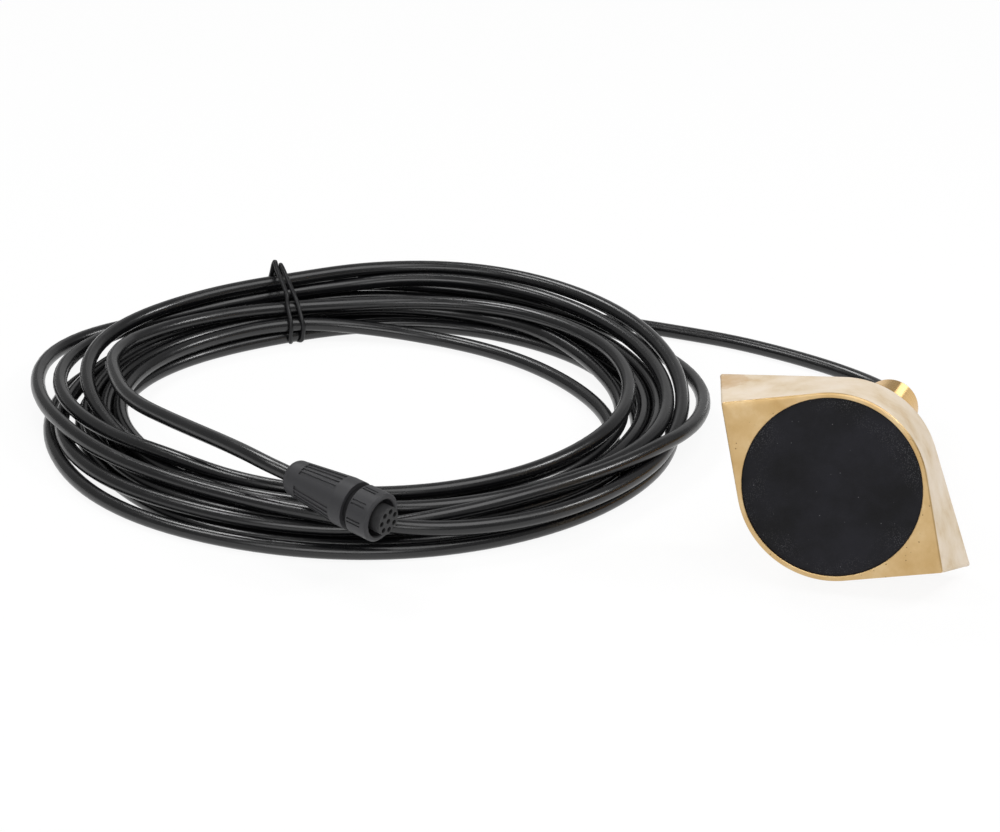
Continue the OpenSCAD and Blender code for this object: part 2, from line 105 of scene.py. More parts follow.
class Nodes:
    """A material's node tree, with short ways to add what the finishes use."""

    def __init__(self, tree: bpy.types.NodeTree) -> None:
        """Takes over a tree and empties it."""
        self.tree = tree
        self.tree.nodes.clear()

    def feed(self, node: bpy.types.Node, inputs: dict[Any, Any]) -> None:
        """Sets or links a node's inputs.

        Args:
            node: The node.
            inputs: Input name or index to a value, or to an output socket to link.
        """
        for key, value in inputs.items():
            if isinstance(value, Socket):
                self.tree.links.new(value, node.inputs[key])
            else:
                node.inputs[key].default_value = value

    def add(self, kind: str, inputs: dict[Any, Any] | None = None, **settings: Any) -> bpy.types.Node:
        """Adds a node with its settings, input values and links.

        Args:
            kind: Node type without its "ShaderNode" prefix.
            inputs: As for feed.
            **settings: Attributes of the node.

        Returns:
            The new node.
        """
        node = self.tree.nodes.new("ShaderNode" + kind)
        for name, value in settings.items():
            setattr(node, name, value)
        self.feed(node, inputs or {})
        return node

    def ramp(self, value: Socket, stops: Sequence[tuple[float, str]]) -> Socket:
        """Adds a colour ramp.

        Args:
            value: What drives the ramp.
            stops: Positions and hex colours, in order.

        Returns:
            The ramp's colour.
        """
        node = self.add("ValToRGB", {"Fac": value})
        marks = node.color_ramp.elements
        while len(marks) < len(stops):
            marks.new(1.0)
        for mark, (place, colour) in zip(marks, stops):
            mark.position = place
            mark.color = linear(colour)
        return node.outputs["Color"]

    def span(self, value: Socket, low: float, high: float, to_low: float, to_high: float) -> Socket:
        """Maps values from low to high onto to_low to to_high, clamped."""
        return self.add("MapRange", {"Value": value, "From Min": low, "From Max": high, "To Min": to_low,
                                     "To Max": to_high}).outputs["Result"]

    def place(self) -> Socket:
        """Gives the place on the surface, in metres."""
        return self.add("TexCoord").outputs["Object"]

    def noise(self, place: Socket, mm: float, detail: float, rough: float = 0.5) -> Socket:
        """Adds a cloudy pattern whose clouds have a size in millimetres, and gives its value."""
        return self.add("TexNoise", {"Vector": place, "Scale": per_mm(mm), "Detail": detail,
                                     "Roughness": rough}).outputs[0]

    def math(self, operation: str, *values: Any) -> Socket:
        """Adds a calculation by its name in Blender and gives its result."""
        return self.add("Math", dict(enumerate(values)), operation=operation).outputs[0]

    def mix(self, share: Socket, colour: Socket, other: str) -> Socket:
        """Mixes a share of another colour, in hex, into a colour."""
        inputs = {"Factor": share, "A": colour, "B": linear(other)}
        return self.add("Mix", inputs, data_type="RGBA").outputs["Result"]

    def away(self, place: Socket, middle: Point) -> Socket:
        """Measures in metres how far each place is from a point in millimetres."""
        spot = tuple(c * MM for c in middle)
        return self.add("VectorMath", {0: place, 1: spot}, operation="DISTANCE").outputs["Value"]

    def dots(self, place: Socket, mm: float, channel: int, some: tuple[float, float],
             cover: float) -> Socket:
        """Puts a small dot into some cells of a pattern.

        Args:
            place: Place on the surface.
            mm: Size of a cell in millimetres.
            channel: Which of a cell's random numbers picks it.
            some: Where in that number's range the dots come up.
            cover: How strong a picked dot is.

        Returns:
            How much of a dot each place has.
        """
        cells = self.add("TexVoronoi", {"Vector": place, "Scale": per_mm(mm)}).outputs
        dot = self.span(cells["Distance"], *DOT_EDGE, 1.0, 0.0)
        pick = self.add("SeparateColor", {"Color": cells["Color"]}).outputs[channel]
        return self.math("MULTIPLY", dot, self.span(pick, *some, 0.0, cover))

    def rounded(self, radius: float) -> Socket:
        """Rounds the edges in the shading by a radius in millimetres, and gives the normal."""
        return self.add("Bevel", {"Radius": radius * MM}, samples=EDGE_RAYS).outputs["Normal"]

    def bump(self, height: Socket, depth: float, normal: Socket | None, invert: bool = False) -> Socket:
        """Adds relief with a depth in millimetres to a normal, or to the plain one, and gives it."""
        inputs = {"Height": height, "Distance": depth * MM} | ({"Normal": normal} if normal else {})
        return self.add("Bump", inputs, invert=invert).outputs["Normal"]


@dataclass(frozen=True)
class Finish:
    """A plain finish: one colour, with a fine grain and rounded edges where the surface has them.

    Attributes:
        name: Real material and how its surface was made.
        slot: The record's material slot; not used.
        colour: Base colour.
        rough: Roughness.
        gloss: Specular level.
        metal: 1 for bare metal.
        grain: Size of the surface grain in millimetres, 0 for none.
        grain_depth: Depth of the grain in millimetres.
        edge: Radius of rounded edges in millimetres, 0 for none.
    """

    name: str
    slot: str
    colour: str
    rough: float
    gloss: float = 0.5
    metal: float = 0.0
    grain: float = 0.0
    grain_depth: float = 0.0
    edge: float = 0.0

    def build(self) -> bpy.types.Material:
        """Makes the material.

        Returns:
            The Blender material.
        """
        material = bpy.data.materials.new(self.name)
        material.use_nodes = True
        nodes = Nodes(material.node_tree)
        shader = nodes.add("BsdfPrincipled", {"Base Color": linear(self.colour), "Roughness": self.rough,
                                              "Specular IOR Level": self.gloss, "Metallic": self.metal})
        nodes.add("OutputMaterial", {"Surface": shader.outputs["BSDF"]})
        nodes.feed(shader, self.dress(nodes))
        return material

    def dress(self, nodes: Nodes) -> dict[str, Any]:
        """Adds what varies over the surface.

        Args:
            nodes: The material's tree.

        Returns:
            Inputs of the shader.
        """
        normal = nodes.rounded(self.edge) if self.edge else None
        if self.grain:
            fine = nodes.noise(nodes.place(), self.grain, GRAIN_DETAIL)
            normal = nodes.bump(fine, self.grain_depth, normal)
        return {"Normal": normal} if normal else {}


@dataclass(frozen=True)
class GroundBronze(Finish):
    """Cast bronze that was ground flat: gold, with cloudy tone and a few dark casting pits."""

    def dress(self, nodes: Nodes) -> dict[str, Any]:
        """Adds clouds, fine grain and pits.

        Args:
            nodes: The material's tree.

        Returns:
            Inputs of the shader.
        """
        place = nodes.place()
        cloud = nodes.noise(place, mm=14, detail=5.0, rough=0.6)
        tone = nodes.ramp(cloud, ((0.3, "#c7a570"), (0.55, "#d4b584"), (0.75, "#dfc69b")))
        pit = nodes.dots(place, mm=2.6, channel=0, some=(0.58, 0.66), cover=1.0)
        fine = nodes.noise(place, self.grain, GRAIN_DETAIL)
        grain = nodes.bump(fine, self.grain_depth, nodes.rounded(self.edge))
        return {"Base Color": nodes.mix(pit, tone, "#7d6238"),
                "Roughness": nodes.span(fine, 0.3, 0.7, self.rough - 0.06, self.rough + 0.08),
                "Normal": nodes.bump(pit, 0.15, grain, invert=True)}


@dataclass(frozen=True)
class CastBronze(Finish):
    """Sand-cast bronze that was blasted: pale and dull, mottled where the metal shows through.

    Attributes:
        bare: Middle of a patch that the blasting missed.
        spread: Mean radius of that patch.
        ragged: Depth of the notches in its edge.
        soft: Half the width of its edge.
    """

    bare: Point = (0.0, 0.0, 0.0)
    spread: float = 10.0
    ragged: float = 14.0
    soft: float = 1.5

    def dress(self, nodes: Nodes) -> dict[str, Any]:
        """Adds mottle, the bare patch and grain.

        Args:
            nodes: The material's tree.

        Returns:
            Inputs of the shader.
        """
        place = nodes.place()
        mottle = nodes.noise(place, mm=18, detail=6.0, rough=0.6)
        stops = ((0.28, "#cfb48c"), (0.42, "#dac8ad"), (0.58, "#e1d2be"), (0.75, "#e6dbcb"))
        notches = nodes.noise(place, mm=4, detail=6.0, rough=0.7)
        reach = nodes.math("MULTIPLY_ADD", notches, self.ragged * MM, nodes.away(place, self.bare))
        edge_at = self.spread + self.ragged / 2
        missed = nodes.span(reach, (edge_at - self.soft) * MM, (edge_at + self.soft) * MM, 0.4, 0.0)
        sand = nodes.noise(place, self.grain, detail=4.0, rough=0.6)
        return {"Base Color": nodes.mix(missed, nodes.ramp(mottle, stops), "#b98f5a"),
                "Metallic": nodes.span(mottle, 0.3, 0.5, 0.45, 0.2),
                "Normal": nodes.bump(sand, self.grain_depth, nodes.rounded(self.edge))}


@dataclass(frozen=True)
class TurnedBronze(Finish):
    """Bronze that was turned on a lathe: bright, with the tone of fine rings about the stem's axis.

    Attributes:
        axis: Direction of the stem.
    """

    axis: Point = (0.0, 1.0, 0.0)

    def dress(self, nodes: Nodes) -> dict[str, Any]:
        """Adds turning rings.

        Args:
            nodes: The material's tree.

        Returns:
            Inputs of the shader.
        """
        spot = {0: nodes.place(), 1: self.axis}
        along = nodes.add("VectorMath", spot, operation="DOT_PRODUCT").outputs["Value"]
        rings = nodes.add("TexNoise", {"W": along, "Scale": per_mm(1.6), "Detail": 2.0},
                          noise_dimensions="1D").outputs[0]
        # bronze keeps some of its colour at a grazing angle, hence the tint
        return {"Base Color": nodes.ramp(rings, ((0.3, "#c89f54"), (0.7, "#d6b06a"))),
                "Specular Tint": linear("#f9ecd9")}


@dataclass(frozen=True)
class DustyUrethane(Finish):
    """Cast urethane, dull from its open mould, with smudges, specks and dust that gathers by the rim.

    Attributes:
        middle: Middle of the window in the frame.
        radius: Radius of the window.
    """

    middle: Point = (0.0, 0.0, 0.0)
    radius: float = 38.3

    def dress(self, nodes: Nodes) -> dict[str, Any]:
        """Adds smudges, specks, dust and grain.

        Args:
            nodes: The material's tree.

        Returns:
            Inputs of the shader.
        """
        place = nodes.place()
        smudge = nodes.noise(place, mm=22, detail=5.0, rough=0.6)
        base = nodes.ramp(smudge, ((0.36, "#0c0c0f"), (0.64, "#1d1d22")))
        speck = nodes.dots(place, mm=2.1, channel=1, some=(0.82, 0.9), cover=0.6)
        cover = nodes.math("MAXIMUM", speck, self.dust(nodes, place))
        fine = nodes.noise(place, self.grain, GRAIN_DETAIL)
        return {"Base Color": nodes.mix(cover, base, "#77777a"),
                "Roughness": nodes.span(smudge, 0.3, 0.7, self.rough - 0.08, self.rough + 0.08),
                "Normal": nodes.bump(fine, self.grain_depth, nodes.rounded(self.edge))}

    def dust(self, nodes: Nodes, place: Socket) -> Socket:
        """Scatters fine dust in patches by the rim.

        Args:
            nodes: The material's tree.
            place: Place on the surface.

        Returns:
            How much dust covers each place.
        """
        far = self.radius * MM
        rim = nodes.span(nodes.away(place, self.middle), 0.7 * far, far, 0.04, 1.0)
        where = nodes.span(nodes.noise(place, mm=16, detail=3.0), 0.46, 0.66, 0.0, 0.4)
        cells = nodes.add("TexVoronoi", {"Vector": place, "Scale": per_mm(0.6)})
        grain = nodes.span(cells.outputs["Distance"], 0.15, 0.4, 1.0, 0.0)
        return nodes.math("MULTIPLY", nodes.math("MULTIPLY", rim, where), grain)


@dataclass(frozen=True)
class DrawnJacket(Finish):
    """Extruded jacket: half gloss, with faint scuffs that change its roughness."""

    def dress(self, nodes: Nodes) -> dict[str, Any]:
        """Adds scuffs to the material's tree and gives inputs of the shader."""
        scuff = nodes.noise(nodes.place(), mm=12, detail=2.0)
        return {"Roughness": nodes.span(scuff, 0.35, 0.75, self.rough - 0.03, self.rough + 0.06)}


@dataclass(frozen=True)
class Housing:
    """The cast and turned housing.

    Its fields repeat the CAD part's sizes, in millimetres. The lip is the bevel around the window.
    """

    hull_len: float = 133.0
    face_len: float = 115.5
    body_r: float = 40.5
    body_t: float = 33.5
    tip_r: float = 1.2
    roll: float = 32.0
    window_r: float = 38.3
    recess: float = 1.0
    stem_len: float = 128.0
    thread_r: float = 14.3
    thread_len: float = 84.0
    thread_pitch: float = 25.4 / 12
    thread_depth: float = 1.2
    relief_len: float = 6.0
    relief_r: float = 12.8
    root_r: float = 3.0
    pilot_r: float = 13.1
    chamfer: float = 0.6
    pocket_r: float = 8.5
    pocket_len: float = 4.0
    edge_r: float = 0.7
    lip: float = 0.25

    @property
    def lean(self) -> float:
        """Angle of the axis below the horizon, in radians."""
        return math.atan((self.body_r - self.pilot_r) / (self.stem_len - self.chamfer))

    @property
    def axis(self) -> Point:
        """Direction of the stem."""
        return 0.0, math.cos(self.lean), -math.sin(self.lean)

    @property
    def face_at(self) -> Array:
        """Works out the middle of the face.

        Returns:
            Its place in the frame.
        """
        front = self.body_r * math.sin(self.lean)
        reach = (self.body_t + self.stem_len) * math.cos(self.lean)
        back = reach + (self.pilot_r - self.chamfer) * math.sin(self.lean)
        height = self.body_r * math.cos(self.lean) + self.body_t * math.sin(self.lean)
        return np.array([0.0, (front - back) / 2, height])

    def placed(self, x: Array, y: Array, w: Array) -> Array:
        """Puts points given across and along the axis into the frame.

        Args:
            x: Places to the right.
            y: Places down across the axis.
            w: Depths from the face.

        Returns:
            Points in the frame.
        """
        down = np.array([0.0, -math.sin(self.lean), -math.cos(self.lean)])
        right = np.array([1.0, 0.0, 0.0])
        across = x[..., None] * right + y[..., None] * down
        return self.face_at + across + w[..., None] * np.array(self.axis)

    def outline(self, length: float, inset: float) -> Array:
        """The body's outline: a round middle whose flanks run straight to two rounded points.

        Args:
            length: Length from tip to tip.
            inset: How far inside the outline the points lie.

        Returns:
            Points around the outline, turned as the body lies.
        """
        at = length / 2 - self.tip_r
        slope = math.asin((self.body_r - self.tip_r) / at)
        tip = max(self.tip_r - inset, 0.05)
        turn = [(at, tip, a) for a in np.linspace(0, math.pi / 2 - slope, 7)]
        turn += [(0.0, self.body_r - inset, a) for a in np.linspace(math.pi / 2 - slope, math.pi / 2, 25)]
        quarter = np.array([(c + r * math.cos(a), r * math.sin(a)) for c, r, a in turn])
        flank = [quarter[6] + (quarter[7] - quarter[6]) * s for s in np.linspace(0, 1, 10)[1:-1]]
        quarter = np.vstack([quarter[:7], flank, quarter[7:]])
        half = np.vstack([quarter, quarter[-2:0:-1] * (-1, 1)])
        half = np.vstack([half, [(-quarter[0][0], 0.0)]])
        ring = np.vstack([half, half[-2:0:-1] * (1, -1)])
        c, s = math.cos(math.radians(self.roll)), math.sin(math.radians(self.roll))
        return ring @ np.array([[c, s], [-s, c]])

    def build(self, ground: Finish, cast: Finish, turned: Finish) -> Thing:
        """Makes the body and the stem as one mesh.

        Args:
            ground: Finish of the face.
            cast: Finish of the walls and the hull side.
            turned: Finish of the stem.

        Returns:
            The mesh object.
        """
        outer = self.outline(self.face_len, 0.0)
        angles = np.arctan2(outer[:, 1], outer[:, 0])
        round_unit = np.stack([np.cos(angles), np.sin(angles)], 1)
        rows: list[tuple[Array, float, int]] = [
            (round_unit * self.window_r, self.recess + 1.5, Skin.TURNED),
            (round_unit * self.window_r, self.lip, Skin.TURNED),
            (round_unit * (self.window_r + self.lip), 0.0, Skin.GROUND),
        ]
        rim = self.outline(self.face_len, self.edge_r)
        mouth = round_unit * (self.window_r + self.lip)
        rows += [(mouth * (1 - s) + rim * s, 0.0, Skin.GROUND) for s in (0.35, 0.7)]
        for a in np.linspace(0, math.pi / 2, 5):
            ring = self.outline(self.face_len, self.edge_r * (1 - math.sin(a)))
            rows.append((ring, self.edge_r * (1 - math.cos(a)), Skin.GROUND))
        for s in np.linspace(0, 1, 9)[1:-1]:
            length = self.face_len + (self.hull_len - self.face_len) * s
            rows.append((self.outline(length, 0.0), self.body_t * s, Skin.CAST))
        for a in np.linspace(0, math.pi / 2, 5):
            ring = self.outline(self.hull_len, self.edge_r * (1 - math.cos(a)))
            rows.append((ring, self.body_t - self.edge_r * (1 - math.sin(a)), Skin.CAST))
        foot = self.relief_r + self.root_r
        rim = self.outline(self.hull_len, self.edge_r)
        base = round_unit * (foot + 1)
        rows += [(rim * (1 - s) + base * s, self.body_t, Skin.CAST) for s in (0.4, 0.8, 1.0)]
        points = [self.placed(ring[:, 0], ring[:, 1], np.full(len(ring), w)) for ring, w, _ in rows]
        body = Grid(np.array(points), [m for _, _, m in rows[1:]])
        return make_mesh("housing_skin", [body, *self.stem()], [ground, cast, turned])

    def stem(self) -> list[Grid]:
        """Makes the stem's surfaces: root, relief, thread, plain end and the mouth of its pocket.

        Returns:
            Grids that meet end to end.
        """
        foot, start = self.relief_r + self.root_r, self.body_t + self.relief_len
        end, tip = start + self.thread_len, self.body_t + self.stem_len
        root = [(foot - self.root_r * math.sin(a), self.body_t + self.root_r * (1 - math.cos(a)))
                for a in np.linspace(0, math.pi / 2, 6)]
        floor = self.thread_r - self.thread_depth
        low = [(foot + 1, self.body_t), *root, (self.relief_r, start), (floor, start)]
        # rows close to an edge keep the shading of the plain end straight
        plain, edge, pocket = self.pilot_r, tip - self.chamfer, self.pocket_r
        rest = [(floor, end), (plain, end + 0.05), (plain, end + 0.5),
                (plain, edge - 0.8), (plain, edge - 0.3), (plain - 0.1, edge),
                (plain - self.chamfer + 0.1, tip - 0.05), (plain - self.chamfer - 0.3, tip),
                (pocket + 0.3, tip), (pocket, tip - 0.3), (pocket, tip - self.pocket_len)]
        return [self.lathe(low), self.thread(start, end), self.lathe(rest)]

    def lathe(self, profile: Sequence[tuple[float, float]], steps: int = 96) -> Grid:
        """Turns a profile of radii and depths about the stem's axis, with some steps around."""
        radius, depth = np.array(profile).T
        return self.spun(np.repeat(radius[:, None], steps, 1), depth)

    def spun(self, radius: Array, depth: Array) -> Grid:
        """Spreads radii around the stem's axis.

        Args:
            radius: Radii by depth and by step around.
            depth: Depths from the face.

        Returns:
            The turned surface.
        """
        around = np.linspace(0, 2 * math.pi, radius.shape[1], endpoint=False)
        w = np.repeat(depth[:, None], radius.shape[1], 1)
        points = self.placed(radius * np.cos(around), radius * np.sin(around), w)
        return Grid(points, [Skin.TURNED] * (len(depth) - 1))

    def thread(self, start: float, end: float, steps: int = 72) -> Grid:
        """Makes the right-hand thread, which fades out at both ends.

        Args:
            start: Depth where it begins.
            end: Depth where it ends.
            steps: Points around.

        Returns:
            The threaded surface.
        """
        around = np.arange(steps) / steps
        depth = np.append(np.arange(start, end, self.thread_pitch / 6), end)
        turn = (depth[:, None] / self.thread_pitch + around) % 1
        crest = np.clip(1.25 - 2.5 * np.abs(turn - 0.5), 0, 1)
        fade = np.clip(np.minimum(depth - start, end - depth) / 2, 0, 1)[:, None]
        return self.spun(self.thread_r - self.thread_depth * (1 - crest * fade), depth)


@dataclass
class Grid:
    """A surface of rings of points that close on themselves.

    Attributes:
        points: Rings by points by three, in millimetres.
        finish: Index of the finish for each band between two rings.
    """

    points: Array
    finish: list[int]


def make_mesh(name: str, grids: Sequence[Grid], finishes: Sequence[Finish]) -> Thing:
    """Makes one mesh object of several ringed surfaces.

    Args:
        name: Name of the object.
        grids: The surfaces.
        finishes: The finishes that they name by index.

    Returns:
        The new object, linked to the scene.
    """
    points, faces, marks, base = [], [], [], 0
    for grid in grids:
        rings, count, _ = grid.points.shape
        points.append(grid.points.reshape(-1, 3) * MM)
        row, here = base + np.arange(rings - 1)[:, None] * count, np.arange(count)
        a, b = row + here, row + (here + 1) % count
        faces += np.stack([a, b, b + count, a + count], -1).reshape(-1, 4).tolist()
        marks += np.repeat(grid.finish, count).tolist()
        base += rings * count
    mesh = bpy.data.meshes.new(name)
    mesh.from_pydata(np.vstack(points).tolist(), [], faces)
    mesh.polygons.foreach_set("material_index", marks)
    for finish in finishes:
        mesh.materials.append(finish_of(finish))
    mesh.update()
    mesh.shade_smooth()
    mesh.set_sharp_from_angle(angle=math.radians(SHARP))
    return show(name, mesh)


def show(name: str, data: bpy.types.ID) -> Thing:
    """Puts a new object into the scene.

    Args:
        name: Its name.
        data: Its mesh, curve, lamp or camera.

    Returns:
        The object.
    """
    thing = bpy.data.objects.new(name, data)
    bpy.context.scene.collection.objects.link(thing)
    return thing


def finish_of(finish: Finish) -> bpy.types.Material:
    """Gives a finish's material, made once."""
    return bpy.data.materials.get(finish.name) or finish.build()


def make_tube(name: str, path: Array, diameter: float, finish: Finish, closed: bool = False) -> Thing:
    """Makes a round tube along a path, as a curve with one spline.

    Args:
        name: Name of the object.
        path: Points in millimetres.
        diameter: Diameter in millimetres.
        finish: Its finish.
        closed: Whether the path closes on itself.

    Returns:
        The new object, linked to the scene.
    """
    curve = bpy.data.curves.new(name, "CURVE")
    curve.dimensions = "3D"
    curve.bevel_depth = diameter / 2 * MM
    curve.bevel_resolution = 5
    curve.use_fill_caps = not closed
    spline = curve.splines.new("POLY")
    spline.points.add(len(path) - 1)
    spline.points.foreach_set("co", np.hstack([path * MM, np.ones((len(path), 1))]).ravel())
    spline.use_cyclic_u = closed
    spline.use_smooth = True
    curve.materials.append(finish_of(finish))
    return show(name, curve)


def through(points: Array, parts: int) -> Array:
    """Draws a smooth line through points.

    Args:
        points: The points to pass through.
        parts: Steps between two points.

    Returns:
        Points of the line, the given ones among them.
    """
    p = np.vstack([2 * points[0] - points[1], points, 2 * points[-1] - points[-2]])
    t = (np.arange(parts) / parts)[:, None]
    pieces = []
    for a, b, c, d in zip(p[:-3], p[1:-2], p[2:-1], p[3:]):
        pieces.append(b + 0.5 * t * (c - a + t * (2 * a - 5 * b + 4 * c - d + t * (3 * (b - c) + d - a))))
    return np.vstack([*pieces, points[-1:]])


@dataclass(frozen=True)
class Heap:
    """How the strands of the coil are heaped at one angle.

    Attributes:
        angle: Angle about the coil's middle, in degrees.
        middle: Radius of the heap's middle.
        rows: Number of strands in each row, lowest first.
        lean: Shift of each row against the one below it.
        order: Place of each turn in the heap, counted from the lowest outer strand.
        grip: How firmly the strands are held there.
    """

    angle: float
    middle: float
    rows: tuple[int, ...]
    lean: float
    order: tuple[int, ...]
    grip: float = 0.0

    def places(self, strand: float) -> tuple[Array, Array]:
        """Works out the places in the heap.

        Args:
            strand: Diameter of a strand.

        Returns:
            Radii and heights, place by place.
        """
        spots = [(level, (n - 1) / 2 - i) for level, n in enumerate(self.rows) for i in range(n)]
        level, step = np.array(spots).T
        radius = self.middle + step * strand * PACK_WIDE + self.lean * level
        return radius, strand * (0.5 + PACK_HIGH * level)


@dataclass(frozen=True)
class Loose:
    """Places that one turn passes through away from the heap.

    Attributes:
        turn: Number of the turn.
        places: Angle about the coil's middle in degrees, distance from it and height, place by place.
    """

    turn: int
    places: tuple[Point, ...]


@dataclass(frozen=True)
class Coil:
    """The coiled stretch of the cable: turns that lie in a heap, held by a tie, with some loose loops.

    Attributes:
        middle: Middle of the coil on the floor.
        strand: Diameter of the cable.
        turns: Full turns.
        start: Angle where the lead joins, in degrees.
        end: Angle where the tail leaves.
        step: Angle between two points.
        clear: Angle about a loose place in which the heap doesn't count.
        rounds: Rounds of settling.
        apart: Distance that strands are pushed apart to, in strands.
        push: Share of an overlap that one push takes away from each strand.
        heaps: How the strands lie at some angles.
        loose: Where turns leave the heap.
    """

    middle: tuple[float, float] = (-237.0, 26.0)
    strand: float = 6.8
    turns: int = 11
    start: float = 82.0
    end: float = 172.0
    step: float = 5.0
    clear: float = 25.0
    rounds: int = 300
    apart: float = 1.01
    push: float = 0.42
    heaps: tuple[Heap, ...] = (
        Heap(85, 118, (5, 4, 3), 1, BACK_ORDER),
        Heap(128, 108.5, (4, 4, 3, 1), 2, LEFT_ORDER, 0.6),
        Heap(150, 113, (4, 4, 3, 1), 2, LEFT_ORDER),
        Heap(182, 133, (4, 4, 3, 1), 0, LEFT_ORDER),
        Heap(222, 119, (4, 4, 3), -1, FRONT_ORDER),
        Heap(270, 121, (4, 4, 3), -5, FRONT_ORDER),
        Heap(360, 136, (4, 4, 3), -4, FRONT_ORDER),
    )
    loose: tuple[Loose, ...] = (
        # the first turn, widest on the floor
        Loose(0, ((82, 134, 3.4), (182, 148, 3.4), (213, 142, 3.4), (227, 143, 3.4), (242, 139, 3.4),
                  (335, 141, 3.4), (358, 147, 3.4))),
        Loose(1, ((248, 131, 3.4), (268, 127, 3.4))),
        # the strand that lies apart inside the back, and stays innermost at the front
        Loose(3, ((385, 106, 4), (400, 99, 4))),
        Loose(4, ((65, 93, 4), (90, 92, 4), (270, 105, 9.4), (300, 107.5, 9.4), (330, 114, 9.6))),
        # two turns that lie against the outer ones on the right
        Loose(5, ((375, 132, 9.4), (390, 129, 9.4))),
        Loose(6, ((375, 139, 9.4), (390, 136, 9.4))),
        # the strand above the first turn at the left, and the loose loop on the right
        Loose(7, ((205, 142, 9), (215, 141, 9), (230, 135, 9.4), (248, 128, 9.8), (270, 126.5, 9.4),
                  (290, 126.5, 11), (305, 127.5, 14.5), (320, 129, 17), (332, 133, 18), (347, 144, 17),
                  (358, 153, 15), (368, 159, 13), (380, 162, 11), (388, 159, 10), (400, 148, 9))),
        # the widest loop on the left
        Loose(8, ((114, 130, 17), (129, 125, 15.4), (142, 123, 11), (151, 128, 9), (157, 144, 9),
                  (162, 163, 11), (169, 172, 11), (177, 165, 11), (184, 159, 12), (199, 145, 14),
                  (217, 133, 16), (234, 124, 16), (255, 118, 16))),
        # the strand over the top of the right and the back
        Loose(8, ((270, 121, 16), (283, 129, 15.5), (296, 137, 13), (312, 143, 12), (335, 147, 12),
                  (362, 148, 13), (380, 148, 17), (401, 146, 21))),
        Loose(9, ((52, 144, 22), (65, 142, 23), (80, 139, 24), (96, 134, 24), (112, 124, 22.5),
                  (126, 117, 21.5), (142, 123, 22), (151, 128, 22), (161, 134, 21.5), (170, 138, 21),
                  (176, 139, 20.5), (188, 132, 19.5), (202, 122, 17), (216, 113, 13))),
        # the strand beside it, which becomes the second loop on the left, then tops the front and the right
        Loose(9, ((362, 142, 14), (384, 140, 16), (407, 137, 18))),
        Loose(10, ((63, 135, 19), (79, 132, 20), (94, 127, 20), (142, 119, 15.5), (151, 126, 15),
                   (161, 139, 14.5), (171, 151, 14), (178, 154, 14), (187, 147, 15), (201, 135, 16),
                   (216, 122, 18), (231, 113, 18.5), (250, 106, 17.5), (270, 104, 16), (300, 106, 15.8),
                   (330, 113, 16.3), (360, 123, 18.5), (390, 124, 19.5))),
        # the last strand, which leaves for the plug
        Loose(11, ((114, 99, 16), (131, 106, 16.3), (142, 109, 17), (151, 113, 18), (159, 116.5, 19.2),
                   (166, 119.4, 20.2), (172, 121, 21.2))),
    )

    def knots(self) -> Array:
        """Gathers the places that the turns are drawn to.

        Returns:
            Rows of running angle, radius, height and hold.
        """
        free = [(loose.turn, *place) for loose in self.loose for place in loose.places]
        rows = [(angle + 360 * turn, radius, height, 1.0) for turn, angle, radius, height in free]
        for heap in self.heaps:
            radius, height = heap.places(self.strand)
            for turn, place in enumerate(heap.order):
                if not any(spot[0] == turn and abs(spot[1] - heap.angle) < self.clear for spot in free):
                    rows.append((heap.angle + 360 * turn, radius[place], height[place], heap.grip))
        return np.array(sorted(rows))

    def route(self) -> Array:
        """Works out the turns, then lets them settle so that no strand lies in another.

        Returns:
            Points of the coil in the frame.
        """
        count = round((self.end - self.start + 360 * self.turns) / self.step) + 1
        angle = self.start + self.step * np.arange(count)
        knots = self.knots()
        lines = (np.interp(angle, knots[:, 0], knots[:, k]) for k in (1, 2, 3))
        radius, height, hold = (settle_line(line, 3) for line in lines)
        radius, height = self.settled(radius, height, hold)
        turn = np.radians(angle)
        x, y = self.middle
        return np.stack([x + radius * np.cos(turn), y + radius * np.sin(turn), height], 1)

    def settled(self, radius: Array, height: Array, hold: Array) -> tuple[Array, Array]:
        """Lets the strands sink, stiffen and push each other apart.

        Args:
            radius: Radii to start from.
            height: Heights to start from.
            hold: How firmly each point keeps to its place.

        Returns:
            Settled radii and heights.
        """
        # how hard strands are drawn to their radius and height, and how much harder where they are held
        inward, level, held, sink = 0.4, 0.1, 4, 1.5
        per = round(360 / self.step)
        count = len(radius)
        rows = -(-count // per)
        live = np.arange(rows * per).reshape(rows, per) < count
        r, z = radius.copy(), height.copy()
        for k in range(self.rounds):
            # the last rounds only smooth the strands and push them apart
            pull, stiff = (0.04, 0.18) if k < 0.9 * self.rounds else (0.0, 0.05)
            r += pull * (inward + held * hold) * (radius - r)
            z += pull * (level + held * hold) * (height - z) - sink * pull * (1 - hold)
            for line in (r, z):
                line[1:-1] += stiff * (line[:-2] - 2 * line[1:-1] + line[2:])
            table = np.full((2, rows * per), -1e3)
            table[0, :count], table[1, :count] = r, z
            table = table.reshape(2, rows, per)
            for _ in range(4):
                self.push_apart(table, live)
            r, z = table.reshape(2, -1)[:, :count].copy()
        return r, z

    def push_apart(self, table: Array, live: Array) -> None:
        """Moves overlapping strands apart and keeps them on the floor, in place.

        Args:
            table: Radius and height, by turn and by angle.
            live: Which places of the table are in use.
        """
        for a in range(table.shape[1] - 1):
            gap = table[:, a:a + 1] - table[:, a + 1:]
            far = np.hypot(*gap) + 1e-6
            over = np.clip(self.apart * self.strand - far, 0, None) * live[a] * live[a + 1:]
            push = self.push * over / far * gap
            table[:, a] += push.sum(1)
            table[:, a + 1:] -= push
        table[1] = np.maximum(table[1], self.strand / 2)

